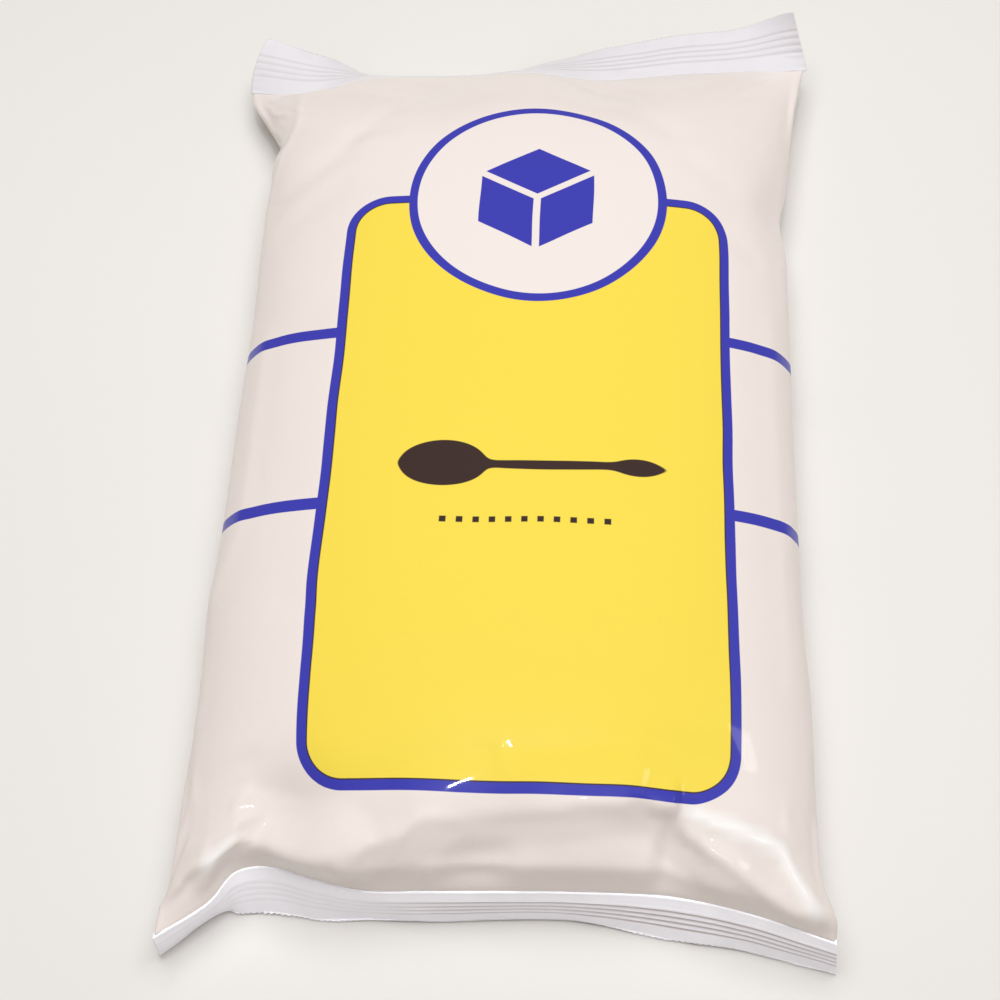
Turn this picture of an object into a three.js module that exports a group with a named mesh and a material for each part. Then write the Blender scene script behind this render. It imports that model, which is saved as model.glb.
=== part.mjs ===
// A filled pillow bag of granulated sugar, lying on its back.
// One tube of film, flattened and heat sealed at both ends: the sugar swells the middle,
// and each end runs out into a thin ribbed seal as wide as the flattened tube.
// +X runs across the bag, +Y along it towards the far seal, and +Z up from the floor.
import * as THREE from "three";

// Driving sizes, in millimetres
const BODY_WIDTH = 180;
const NEAR_ROOT = -154; // where the filled body runs into the near seal, along Y
const FAR_ROOT = 151; // the same for the far seal
const GIRTH_HEIGHT = 17.5; // height of the body's widest line above the floor
const CROWN = 24.5; // rise of the upper film above that line
const SEAL_LENGTH = 19; // from a seal's root to its cut edge
const SEAL_THICKNESS = 1.2; // both films with the slack between them
const RIB_PITCH = 2.5;
const RIB_HEIGHT = 0.7;
const RIB_COUNT = 4;
const RIB_START = 3.2; // plain film between a seal's root and its first rib

// How the filled shape eases into the flat seals, in millimetres from the root of a seal
const NEAR_CROWN_REACH = 17; // the upper film rises over this: steeply, as the sugar has slid here
const NEAR_STEEPNESS = 0.85; // exponent of that rise: less is steeper at the seal
const FAR_CROWN_REACH = 22.5;
const KEEL_REACH = 13; // the under film drops to the floor over this
const NEAR_BEND_REACH = 24; // the near seal's own bends reach this far into the body
const FAR_BEND_REACH = 40;
const NEAR_WING_REACH = [14, 8]; // the film's spread to the flat seal, on the left and the right
const FAR_WING_REACH = [21, 30];
const UPPER_SQUARENESS = 2.77; // exponent of the section: 2 is an ellipse, more is flatter
const UNDER_SQUARENESS = 5;
const FLOOR_PRESS = 1.12; // how hard the under film is pressed flat on the floor

// The root of each seal from left to right, and the seal's pitch there in degrees: [x, y, z, pitch].
// A pitch of 0 lies level, one below 0 hangs towards the floor, and one above 0 stands up.
const NEAR_SEAL = [
  [-93.5, -170, 17, -92],
  [-79, -159.5, 17, -100],
  [-72.5, -151.2, 18.2, -74],
  [-64, -149.1, 17.7, -69],
  [-50, -152.5, 18.2, -74.5],
  [-37, -155, 17, -84],
  [-18, -155, 18, -84],
  [22, -154, 18, -85.5],
  [50, -154.7, 18.2, -73],
  [70, -158.6, 18.6, -77.5],
  [94.3, -166, 18, -83],
];
const FAR_SEAL = [
  [-103, 150, 12, 29],
  [-80, 145, 16.5, -2],
  [-60, 151, 17.5, -45],
  [-25, 153, 17, -60],
  [0, 154, 18, -43],
  [26, 151.5, 17, -14],
  [55, 154, 17.5, -2],
  [80, 155.5, 18, 5],
  [101, 157, 18, 45],
];
const NEAR_EAR_LEAN = 0.1; // how far the cut edge of a corner leans out, for each unit of seal
const FAR_EAR_LEAN = -0.3;
const EAR_SHARPNESS = 9; // power of the station across: how close to the corners the lean stays

// Where a side draws in, or out below 0: [side, distance from the far root, reach, depth]
const LEFT = -1;
const RIGHT = 1;
const PINCHES = [
  [LEFT, 34, 9, 3],
  [LEFT, 115, 22, 0.8],
  [LEFT, 218, 15, -1.2],
  [RIGHT, 68, 10, 2.4],
  [RIGHT, 250, 25, -1.2],
];
const PINCH_SHARPNESS = 4; // power of the station across: how close to the side a pinch stays

// Folds that the upper film takes where it is gathered at a seal:
// [station across from -1 to 1, distance from the root, half width across, depth]
const NEAR_FOLDS = [
  [-0.62, 14, 0.12, 4],
  [0, 12, 0.13, 3],
  [0.56, 17, 0.13, 4],
];
const FAR_FOLDS = [
  [-0.35, 14, 0.16, 2.5],
  [0.3, 14, 0.14, 2.5],
  [0.92, 70, 0.07, 3],
];
const FOLD_LENGTH = 16; // half length of a fold along the bag
const FOLD_CLEARANCE = 6; // folds fade out this close to a root

// Faces across and along each film
const COLUMNS = 36;
const BODY_ROWS = 32;
const SECTION_STEPS = 48;

const HALF_SEAL = SEAL_THICKNESS / 2;
const BODY_LENGTH = FAR_ROOT - NEAR_ROOT;
const UPPER = 1;
const UNDER = -1;
const SLIDE_BLEND = 0.35; // cosine of the pitch below which a seal stops sliding along the floor

const { clamp, degToRad, lerp } = THREE.MathUtils;
const bell = (x) => Math.exp(-x * x);

// A seal's root as one smooth curve, with even steps along it: the film doesn't stretch
function sealCurve(stations) {
  const root = new THREE.CatmullRomCurve3(stations.map(([x, y, z]) => new THREE.Vector3(x, y, z)));
  const pitches = new THREE.SplineCurve(stations.map(([, , , pitch], i) => new THREE.Vector2(i, pitch)));
  return (across) => {
    const t = root.getUtoTmapping((across + 1) / 2);
    return { ...root.getPoint(t), pitch: degToRad(pitches.getPoint(t).y) };
  };
}

const nearSeal = sealCurve(NEAR_SEAL);
const farSeal = sealCurve(FAR_SEAL);

// One film's section at a station along the bag: half a superellipse, its points spread
// evenly by length
function sectionPoint(across, rise, squareness) {
  const arc = Array.from({ length: SECTION_STEPS + 1 }, (_, i) => {
    const angle = (i / SECTION_STEPS) * (Math.PI / 2);
    const x = (BODY_WIDTH / 2) * Math.sin(angle) ** (2 / squareness);
    return new THREE.Vector2(x, rise * Math.cos(angle));
  });
  const lengths = [0];
  for (let i = 1; i <= SECTION_STEPS; i++) {
    lengths.push(lengths[i - 1] + arc[i].distanceTo(arc[i - 1]));
  }
  const wanted = Math.abs(across) * lengths[SECTION_STEPS];
  let step = 1;
  while (step < SECTION_STEPS && lengths[step] < wanted) step++;
  const share = (wanted - lengths[step - 1]) / (lengths[step] - lengths[step - 1]);
  const point = arc[step - 1].clone().lerp(arc[step], share);
  return { x: Math.sign(across) * point.x, z: point.y };
}

function foldDepth(folds, across, fromRoot) {
  let depth = 0;
  for (const [station, distance, halfWidth, deep] of folds) {
    depth += deep * bell((across - station) / halfWidth) * bell((fromRoot - distance) / FOLD_LENGTH);
  }
  return depth * (1 - bell(fromRoot / FOLD_CLEARANCE));
}

// How far a pinched side moves the film to the left
function pinchDepth(across, fromFar) {
  let depth = 0;
  for (const [edge, distance, reach, deep] of PINCHES) {
    const closeness = Math.max(edge * across, 0) ** PINCH_SHARPNESS;
    depth += edge * deep * bell((fromFar - distance) / reach) * closeness;
  }
  return depth;
}

// A point of the filled body's upper or under film
function bodyPoint(across, along, side) {
  const fromNear = along;
  const fromFar = BODY_LENGTH - along;
  const ease = (distance, reach) => 1 - Math.exp(-distance / reach);
  const near = nearSeal(across);
  const far = farSeal(across);
  const nearBend = bell(fromNear / NEAR_BEND_REACH);
  const farBend = bell(fromFar / FAR_BEND_REACH);
  const rightness = (across + 1) / 2;
  const nearWing = lerp(...NEAR_WING_REACH.map((reach) => bell(fromNear / reach)), rightness);
  const [leftReach, rightReach] = FAR_WING_REACH;
  const farWing = lerp(bell(fromFar / leftReach), Math.exp(-fromFar / rightReach), rightness);

  const rise =
    side === UPPER
      ? CROWN * ease(fromNear, NEAR_CROWN_REACH) ** NEAR_STEEPNESS * ease(fromFar, FAR_CROWN_REACH)
      : GIRTH_HEIGHT * FLOOR_PRESS * ease(fromNear, KEEL_REACH) * ease(fromFar, KEEL_REACH);
  const section = sectionPoint(across, rise, side === UPPER ? UPPER_SQUARENESS : UNDER_SQUARENESS);
  const flatX = (across * BODY_WIDTH) / 2;
  const wings = (near.x - flatX) * nearWing + (far.x - flatX) * farWing;
  const x = section.x + wings - pinchDepth(across, fromFar);
  const y = NEAR_ROOT + along + (near.y - NEAR_ROOT) * nearBend + (far.y - FAR_ROOT) * farBend;
  const girth = GIRTH_HEIGHT + (near.z - GIRTH_HEIGHT) * nearBend + (far.z - GIRTH_HEIGHT) * farBend;
  let z = girth + side * (section.z + HALF_SEAL);
  if (side === UPPER) {
    const folds = foldDepth(NEAR_FOLDS, across, fromNear) + foldDepth(FAR_FOLDS, across, fromFar);
    z = Math.max(z - folds, girth + HALF_SEAL);
  }
  return new THREE.Vector3(x, y, Math.max(z, 0));
}

// The rows of a seal, as distances from its root: a plain margin, the ribs' crests and
// valleys in turn, and the plain strip at the cut edge
function sealRows() {
  const rows = [];
  for (let half = 0; half <= 2 * RIB_COUNT; half++) {
    const plain = half === 0 || half === 2 * RIB_COUNT;
    const crest = half % 2 === 1 ? RIB_HEIGHT / 2 : -RIB_HEIGHT / 2;
    rows.push({ distance: RIB_START + (half * RIB_PITCH) / 2, lift: plain ? 0 : crest });
  }
  rows.push({ distance: SEAL_LENGTH, lift: 0 });
  return rows;
}

// A point of a seal. It leaves its root at the seal's pitch, and slides along the floor
// once it has come down to it.
function sealPoint(across, row, side, seal, outward) {
  const { x, y, z, pitch } = seal(across);
  const lowest = HALF_SEAL + RIB_HEIGHT / 2;
  const free = pitch < 0 ? Math.min(row.distance, (z - lowest) / -Math.sin(pitch)) : row.distance;
  const slide = (row.distance - free) * clamp(Math.cos(pitch) / SLIDE_BLEND, -1, 1);
  const reach = free * Math.cos(pitch) + slide;
  const offset = row.lift + side * HALF_SEAL;
  const lean = (outward > 0 ? FAR_EAR_LEAN : NEAR_EAR_LEAN) * across ** EAR_SHARPNESS;
  const drawn = across < 0 ? row.distance ** 2 / SEAL_LENGTH : row.distance;
  return new THREE.Vector3(
    x + lean * drawn,
    y + outward * (reach - Math.sin(pitch) * offset),
    Math.max(z + free * Math.sin(pitch) + Math.cos(pitch) * offset, 0),
  );
}

// Every point of one film, row by row from the near cut edge to the far one
function filmGrid(side) {
  const stations = Array.from({ length: COLUMNS + 1 }, (_, i) => (2 * i) / COLUMNS - 1);
  const ribs = sealRows();
  const grid = [];
  for (const row of [...ribs].reverse()) {
    grid.push(stations.map((across) => sealPoint(across, row, side, nearSeal, -1)));
  }
  for (let i = 0; i <= BODY_ROWS; i++) {
    const even = i / BODY_ROWS;
    const eased = (1 - Math.cos(Math.PI * even)) / 2;
    const along = (BODY_LENGTH * (even + eased)) / 2;
    grid.push(stations.map((across) => bodyPoint(across, along, side)));
  }
  for (const row of ribs) {
    grid.push(stations.map((across) => sealPoint(across, row, side, farSeal, 1)));
  }
  return grid;
}

// Both films, closed round their rim by a narrow band, as one surface
function bagGeometry() {
  const films = [filmGrid(UPPER), filmGrid(UNDER)];
  const rows = films[0].length;
  const positions = films.flatMap((grid) => grid.flatMap((row) => row.flatMap((p) => p.toArray())));
  const at = (film, row, column) => (film * rows + row) * (COLUMNS + 1) + column;
  const faces = [];
  const quad = (a, b, c, d) => faces.push(a, b, c, a, c, d);
  for (let r = 0; r < rows - 1; r++) {
    for (let c = 0; c < COLUMNS; c++) {
      quad(at(0, r, c), at(0, r, c + 1), at(0, r + 1, c + 1), at(0, r + 1, c));
      quad(at(1, r, c), at(1, r + 1, c), at(1, r + 1, c + 1), at(1, r, c + 1));
    }
    quad(at(0, r, 0), at(0, r + 1, 0), at(1, r + 1, 0), at(1, r, 0));
    quad(at(0, r, COLUMNS), at(1, r, COLUMNS), at(1, r + 1, COLUMNS), at(0, r + 1, COLUMNS));
  }
  for (let c = 0; c < COLUMNS; c++) {
    quad(at(0, 0, c), at(1, 0, c), at(1, 0, c + 1), at(0, 0, c + 1));
    quad(at(0, rows - 1, c), at(0, rows - 1, c + 1), at(1, rows - 1, c + 1), at(1, rows - 1, c));
  }
  const geometry = new THREE.BufferGeometry();
  geometry.setAttribute("position", new THREE.Float32BufferAttribute(positions, 3));
  geometry.setIndex(faces);
  geometry.computeVertexNormals();
  return geometry;
}

// The origin is under the middle of the bag, on the floor
function standOnOrigin(geometry) {
  geometry.computeBoundingBox();
  const { min, max } = geometry.boundingBox;
  return geometry.translate(-(min.x + max.x) / 2, -(min.y + max.y) / 2, -min.z);
}

const whiteFilm = new THREE.MeshStandardMaterial({ color: 0xefe7e4, roughness: 0.35, metalness: 0 });

const bag = new THREE.Mesh(standOnOrigin(bagGeometry()), whiteFilm);
bag.name = "bag";

const part = new THREE.Group();
part.add(bag);

export default part;
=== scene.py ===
"""A filled pillow bag of sugar, lying on its back with its printed face up.

The film is a tube that was flattened and heat sealed at both ends. Its filled shape is worked out from
the bag's sizes, and the film's spare length then finds its own folds over the sugar.
"""
import math

import bpy
import numpy as np
from bpy.props import FloatProperty, FloatVectorProperty, IntProperty, PointerProperty
from mathutils import Matrix, Vector


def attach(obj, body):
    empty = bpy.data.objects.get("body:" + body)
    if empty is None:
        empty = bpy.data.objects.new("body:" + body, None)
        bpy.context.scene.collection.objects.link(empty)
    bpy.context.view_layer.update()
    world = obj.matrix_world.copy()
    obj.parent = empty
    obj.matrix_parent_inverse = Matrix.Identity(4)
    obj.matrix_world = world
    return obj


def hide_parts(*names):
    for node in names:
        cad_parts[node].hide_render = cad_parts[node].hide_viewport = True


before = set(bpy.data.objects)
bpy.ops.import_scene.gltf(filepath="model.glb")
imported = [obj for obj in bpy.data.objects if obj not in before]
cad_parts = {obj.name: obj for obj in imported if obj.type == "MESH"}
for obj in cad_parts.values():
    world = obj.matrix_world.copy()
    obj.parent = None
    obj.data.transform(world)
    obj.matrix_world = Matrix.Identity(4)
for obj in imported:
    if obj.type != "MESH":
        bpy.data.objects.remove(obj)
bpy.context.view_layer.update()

bl_info = {
    "name": "Sugar Bag",
    "version": (1, 0, 0),
    "blender": (4, 5, 0),
    "location": "View3D > Sidebar > Sugar Bag",
    "description": "Builds a filled, printed pillow bag of sugar and a plain stage for it",
    "category": "Object",
}

BODY = "root"
NODE = "bag"
MM = 0.001
TINY = 1e-9  # keeps a length from being divided by zero

# The bag's drawing has its own zero, and this point of it lies at the part's origin, in millimetres
BOX_MIDDLE = (-1.0, 1.897)

# Where the filled body runs into each seal, along Y, in millimetres
NEAR_ROOT = -154.0
FAR_ROOT = 151.0
BODY_LENGTH = FAR_ROOT - NEAR_ROOT

# How the filled shape eases into the flat seals, in millimetres from the root of a seal
NEAR_CROWN_REACH = 17.0  # the upper film rises over this: steeply, as the sugar has slid here
FAR_CROWN_REACH = 22.5
KEEL_REACH = 13.0  # the under film drops to the floor over this
NEAR_BEND_REACH = 24.0  # the near seal's own bends reach this far into the body
FAR_BEND_REACH = 40.0
NEAR_WING_REACH = (14.0, 8.0)  # the film's spread to the flat seal, on the left and the right
FAR_WING_REACH = (21.0, 30.0)

# Exponents of the rise over the near seal, where less is steeper, and of the sections, where 2 is an
# ellipse and more is flatter, and how hard the under film is pressed flat on the floor
NEAR_STEEPNESS = 0.85
UPPER_SQUARENESS = 2.77
UNDER_SQUARENESS = 5.0
FLOOR_PRESS = 1.12

# Points on a quarter of a section, between which its even steps are found
ARC_POINTS = 97

# The root of each seal from left to right, in millimetres, and the seal's pitch in degrees
NEAR_SEAL = [
    (-93.5, -170, 17, -92),
    (-79, -159.5, 17, -100),
    (-72.5, -151.2, 18.2, -74),
    (-64, -149.1, 17.7, -69),
    (-50, -152.5, 18.2, -74.5),
    (-37, -155, 17, -84),
    (-18, -155, 18, -84),
    (22, -154, 18, -85.5),
    (50, -154.7, 18.2, -73),
    (70, -158.6, 18.6, -77.5),
    (94.3, -166, 18, -83),
]
FAR_SEAL = [
    (-103, 150, 12, 29),
    (-80, 145, 16.5, -2),
    (-60, 151, 17.5, -45),
    (-25, 153, 17, -60),
    (0, 154, 18, -43),
    (26, 151.5, 17, -14),
    (55, 154, 17.5, -2),
    (80, 155.5, 18, 5),
    (101, 157, 18, 45),
]
SEAL_LENGTH = 19.0

# How far the ends of a seal lean outwards for each millimetre of its length, and the exponent of that lean
# from the seal's middle to its ends
NEAR_EAR_LEAN = 0.1
FAR_EAR_LEAN = -0.3
EAR_SHARPNESS = 9

# The least height of a seal over the floor, in millimetres, and the cosine of the pitch from which it
# slides out to its full length there
SEAL_CLEARANCE = 0.6
SLIDE_BLEND = 0.35

# How far a seal starts inside the body, the step of its rows, and the least last step, in millimetres
SEAL_TUCK = 1.6
SEAL_ROW = 0.4
SEAL_LAST_ROW = 0.5
TOOTH_STEPS = 4  # points from tooth to tooth of the cut edge
CUT_ROW = 0.999  # share of the seal's length from which a point is on its cut edge
GROOVE_SHADE_SHARPNESS = 1.2  # exponent of the painted shade line in each groove: more is thinner

# How hard the jaws have pressed the ribs, from left to right: x in millimetres, and a share of full depth
NEAR_PRESS = [(-60, 0.2), (-35, 0.2), (-8, 1)]
FAR_PRESS = [(-100, 0.3), (0, 0.4)]

# How far the root lies behind the front of the seal, and over what length, in millimetres
SHELF_DEPTH = 0.8
SHELF_REACH = 2.5

# Where the left or the right side draws in, or out below 0: side, distance from the far root, reach, depth
PINCHES = [(-1, 34, 9, 3), (-1, 115, 22, 0.8), (-1, 218, 15, -1.2), (1, 68, 10, 2.4), (1, 250, 25, -1.2)]
PINCH_SHARPNESS = 4  # exponent of a pinch from the middle to its side

# Folds gathered at a seal: station across from -1 to 1, distance from the root, half width, depth
NEAR_FOLDS = [(-0.62, 14, 0.12, 4), (0, 12, 0.13, 3), (0.56, 17, 0.13, 4)]
FAR_FOLDS = [(-0.35, 14, 0.16, 2.5), (0.3, 14, 0.14, 2.5), (0.92, 70, 0.07, 3)]
FOLD_LENGTH = 16.0  # along the bag, in millimetres
FOLD_CLEARANCE = 6.0  # from the root, where the film is still held flat

# Lines that are used twice below: the shoulder over the near seal, and the fold at its right corner
SHOULDER = [(-26, 13), (-21, 15.5), (4, 19), (20, 19.5), (49, 23)]
CORNER_FOLD = [(71, 18), (83, 15.5), (88, 9.5)]

# Creases of the upper film, each a roof along a line: its height, its half widths to the left and the
# right of the line, and the line's points. A point is millimetres across the flat film from its middle,
# and along the bag from the root of the near seal. A height below 0 is a valley.
CREASES = [
    (2.8, 15, 9, [(-36, 9), *SHOULDER, (60, 20.5), *CORNER_FOLD, (91, 6.5)]),
    (1.0, 15, 9, SHOULDER),
    (4.4, 15, 7, [(-81, 9), (-75, 10), (-66, 6.5), (-58, 5), (-44, 4.5)]),
    (2.8, 10, 6, [(-58, 4), (-46, 5.5), (-20, 6), (20, 6), (46, 6), (58, 5), (68, 3.5)]),
    (-2.6, 9, 9, [(-5, 4), (2, 4)]),
    (-3.0, 12, 4, [(51, 18), (50, 3)]),
    (5.4, 14, 9, [(54, 16.5), (63, 12.5), (72.5, 8.5), (82, 4.5), (88, 2.5)]),
    (-0.6, 4, 4, [(-88, 29), (-72, 32)]),
    (-0.5, 4, 4, [(-87, 19), (-72, 18)]),
    (2.6, 24, 14, [(-78, 297), (-82, 282), (-88, 264)]),
    (-0.7, 6, 6, [(-60, 262), (-31, 290)]),
    (-0.6, 5, 5, [(-60, 262), (-46, 265)]),
    (-0.7, 7, 7, [(-89, 238), (-63, 254)]),
    (-0.6, 7, 7, [(-83, 223), (-62, 237)]),
    (-0.8, 6, 6, [(18, 301), (42, 284)]),
    (-0.6, 6, 6, [(37, 275), (53, 261)]),
    (-0.6, 6, 6, [(57, 250), (70, 242)]),
    (-0.7, 6, 6, [(70, 220), (80, 213)]),
    (0.6, 5, 6, [(-85, 178), (-85, 111), (-92, 86)]),
    (0.5, 6, 5, [(86, 190), (87, 120), (88, 60)]),
    (-0.4, 3, 3, [(-66, 81), (-52, 79)]),
    (0.5, 9, 2.5, [(40, 23), (42, 34)]),
    (0.4, 3, 3, [(60, 31), (66, 27)]),
    (0.3, 3, 3, [(1, 36), (3, 31)]),
]

# Lines along the sharpest folds, where a white highlight is painted into the film's colour, and how far the
# painted highlight reaches from them, in millimetres
PAINTED_HIGHLIGHT_LINES = [[(56, 21.5), *CORNER_FOLD, (92, 5)], [(-82, 9), (-75, 9.5)]]
PAINTED_HIGHLIGHT_REACH = 3.0

# Points of the film, round the tube and along it
HALF_COLUMNS = 110
BODY_ROWS = 112
UPPER = 1
UNDER = -1

# How the film settles, in millimetres: near each seal it keeps to its drawn shape
NEAR_HELD_REACH = 2.5
FAR_HELD_REACH = 4.0
SUCTION = 0.010  # how far the film is drawn in at each step
LUMP_HEIGHT = 0.3  # of the sugar's lumps, from which the folds start
LUMP_SPREAD = 3.0  # their width, in points of the film

# Stiffness of the film's ties: round it and along it, askew, and past one point, against bending
PLAIN_STIFFNESS = 0.9
SKEW_STIFFNESS = 0.5
BEND_STIFFNESS = 0.06

# The film's sides, as stations across from 0 to 1, and their reach
SIDE_STATION = 0.9
SIDE_REACH = 0.25

# Spare film, as a share of its length: everywhere, along the sides, and along it at the far seal
LEAST_SPARE = 0.001
SIDE_SPARE = 0.010
FAR_ALONG_SPARE = 0.004
FAR_ALONG_REACH = 40.0
SEAL_SPARE_REACH = 38.0  # of the spare film round the bag at each seal, in millimetres

# How deep the film may sink below its drawn shape, in millimetres: everywhere, near each seal, and at
# the sides
LEAST_SINK = 0.15
NEAR_SINK = 0.5
NEAR_SINK_REACH = 10.0
FAR_SINK = 0.8
FAR_SINK_REACH = 12.0
SINK_PLACE = 16.0  # from the root of a seal
SIDE_SINK = 0.4

# Sizes of the patterns in the film and the floor, in millimetres
SLACK_SIZE = 40.0  # waves of the print, where the film is slack
SLACK_DRIFT = 2.0  # how far they move it
MOTTLE_SIZE = 30.0  # lumps of sugar behind the film
CRINKLE_SIZE = 7.0  # coarser than real ones, so that they show
CRINKLE_DEPTH = 0.6
HAZE_SIZE = 8.0  # patches of the melted seals
HAZE_DEPTH = 0.5
FLUTTER_SIZE = 18.0  # waves of the cut edge
CLOUD_SIZE = 400.0  # unevenness of the board

# The dark line where the border's ink overlaps the panel's, and the ink's soft edge, in millimetres
OVERPRINT = 0.4
INK_BLUR = 0.12

# The teaspoon's bowl, handle and handle's end, each an ellipse, in millimetres: its middle along the spoon,
# its half length and half width, and then how softly they run into each other
SPOON = [(-26, 13.5, 7.8), (8, 30, 1.6), (34, 6.5, 3)]
SPOON_BLEND = 3.0

# Shades that the film, the seals, the floor and the sky take beside their main colour. The fold white is a
# painted highlight on the sharpest folds, and the groove grey is painted shade in the seals' grooves
SUGAR_SHADE = "#efe6e2"
HIGHLIGHT_WHITE = "#ffffff"
HAZE_GREY = "#e4e3ea"
GROOVE_SHADE_GREY = "#b0a4a2"
BOARD_PALE = "#f0efed"
SKY_WARM = "#fff4e6"

# The stage, in metres: where each light stands, and how wide it is
KEY_PLACE = (0.05, 0.1, 1.2)
KEY_SIZE = 1.0
SHEEN_PLACE = (0.8, 0.1, 1.0)
SHEEN_SIZE = 0.2
SEAL_LIGHT_PLACE = (0.7, -1.0, 0.2)
SEAL_LIGHT_SIZE = 0.5
GLINT_PLACE = (0.02, -0.07, 1.0)
GLINT_SIZE = 0.02
FLOOR_HALF = 2.0
FLOOR_DROP = 0.0002  # below the part, so that no two faces lie in one plane

# What the camera looks at, in the bag's drawing, and the width of its sensor, in millimetres
CAMERA_TARGET = (-3.09, -27.74, 18.0)
SENSOR_WIDTH = 36.0


def srgb(code):
    """A colour as linear red, green, blue and alpha, from its sRGB hex code."""
    channels = [int(code[i:i + 2], 16) / 255 for i in (1, 3, 5)]
    linear = [c / 12.92 if c <= 0.04045 else ((c + 0.055) / 1.055) ** 2.4 for c in channels]
    return (*linear, 1.0)


def bell(x):
    return np.exp(-np.square(x))


class BagShape(bpy.types.PropertyGroup):
    """Sizes of the filled film."""

    body_width: FloatProperty(
        name="Body Width", description="Width of the filled body", default=0.180, unit="LENGTH"
    )
    girth_height: FloatProperty(
        name="Girth Height", description="Height of the widest line", default=0.0175, unit="LENGTH"
    )
    crown: FloatProperty(
        name="Crown", description="Rise of the upper film over the widest line",
        default=0.0245, unit="LENGTH",
    )
    flat_width: FloatProperty(
        name="Flat Width", description="Width of the film, laid flat", default=0.199, unit="LENGTH"
    )
    near_spare: FloatProperty(
        name="Near Spare", description="Share of spare film at the near seal",
        default=0.02, subtype="FACTOR",
    )
    far_spare: FloatProperty(
        name="Far Spare", description="Share of spare film at the far seal",
        default=0.014, subtype="FACTOR",
    )
    settle_steps: IntProperty(
        name="Settle Steps", description="Steps in which the film settles on the sugar", default=600
    )
    seed: IntProperty(name="Seed", description="Seed of the sugar's lumps", default=7)


class SealShape(bpy.types.PropertyGroup):
    """Sizes of the ribbed end seals."""

    length: FloatProperty(
        name="Length", description="From the root to the cut edge", default=SEAL_LENGTH * MM, unit="LENGTH"
    )
    thickness: FloatProperty(
        name="Thickness", description="Both films together", default=0.00025, unit="LENGTH"
    )
    rib_pitch: FloatProperty(
        name="Rib Pitch", description="From rib to rib", default=0.0025, unit="LENGTH"
    )
    rib_height: FloatProperty(
        name="Rib Height", description="From valley to crest", default=0.0005, unit="LENGTH"
    )
    rib_count: IntProperty(name="Rib Count", description="Ribs on each seal", default=4)
    rib_start: FloatProperty(
        name="Rib Start", description="Plain film before the first rib", default=0.0032, unit="LENGTH"
    )
    tooth_pitch: FloatProperty(
        name="Tooth Pitch", description="From tooth to tooth of the cut edge", default=0.0017, unit="LENGTH"
    )
    tooth_depth: FloatProperty(
        name="Tooth Depth", description="Depth of the cut edge's teeth", default=0.0005, unit="LENGTH"
    )
    flutter: FloatProperty(
        name="Flutter", description="How far the cut edge waves", default=0.0015, unit="LENGTH"
    )


class FilmPrint(bpy.types.PropertyGroup):
    """Sizes and colours of the printed panel, in the film's own flat measure."""

    panel_width: FloatProperty(
        name="Panel Width", description="Over its border", default=0.1283, unit="LENGTH"
    )
    panel_top: FloatProperty(
        name="Panel Top", description="Along the film from its middle", default=0.077, unit="LENGTH"
    )
    panel_bottom: FloatProperty(
        name="Panel Bottom", description="Along the film from its middle", default=-0.1318, unit="LENGTH"
    )
    corner_radius: FloatProperty(
        name="Corner Radius", description="Of the panel", default=0.0145, unit="LENGTH"
    )
    border_width: FloatProperty(
        name="Border Width", description="Of the panel and the badge", default=0.003, unit="LENGTH"
    )
    badge_radius: FloatProperty(
        name="Badge Radius", description="Over its border", default=0.0434, unit="LENGTH"
    )
    badge_place: FloatProperty(
        name="Badge Place", description="Along the film from its middle", default=0.0758, unit="LENGTH"
    )
    upper_stripe: FloatProperty(
        name="Upper Stripe", description="Along the film from its middle", default=0.0218, unit="LENGTH"
    )
    lower_stripe: FloatProperty(
        name="Lower Stripe", description="Along the film from its middle", default=-0.0416, unit="LENGTH"
    )
    shift: FloatProperty(
        name="Shift", description="Of the film's middle to the right of the print",
        default=-0.0061, unit="LENGTH",
    )
    cube_radius: FloatProperty(
        name="Cube Radius", description="Of the sugar cube in the badge", default=0.019, unit="LENGTH"
    )
    cube_gap: FloatProperty(
        name="Cube Gap", description="Between the cube's faces", default=0.0024, unit="LENGTH"
    )
    spoon_place: FloatProperty(
        name="Spoon Place", description="Along the film from its middle", default=-0.0286, unit="LENGTH"
    )
    dots_place: FloatProperty(
        name="Dots Place", description="Along the film from its middle", default=-0.0478, unit="LENGTH"
    )
    dots_width: FloatProperty(
        name="Dots Width", description="Of the row of dots", default=0.050, unit="LENGTH"
    )
    dot_pitch: FloatProperty(
        name="Dot Pitch", description="From dot to dot", default=0.005, unit="LENGTH"
    )
    dot_size: FloatProperty(
        name="Dot Size", description="Side of a dot", default=0.002, unit="LENGTH"
    )
    stripe_width: FloatProperty(
        name="Stripe Width", description="Of the stripes round the bag", default=0.004, unit="LENGTH"
    )
    film_white: FloatVectorProperty(
        name="Film White", description="Plain film",
        subtype="COLOR", size=4, default=srgb("#f2eae7"),
    )
    seal_white: FloatVectorProperty(
        name="Seal White", description="Film of the seals",
        subtype="COLOR", size=4, default=srgb("#eeedf4"),
    )
    panel_yellow: FloatVectorProperty(
        name="Panel Yellow", description="Ink of the panel",
        subtype="COLOR", size=4, default=srgb("#f9e052"),
    )
    border_blue: FloatVectorProperty(
        name="Border Blue", description="Ink of the lines",
        subtype="COLOR", size=4, default=srgb("#3a3cb4"),
    )
    mark_brown: FloatVectorProperty(
        name="Mark Brown", description="Ink of the spoon, the dots and the overlap",
        subtype="COLOR", size=4, default=srgb("#3b2a28"),
    )


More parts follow.
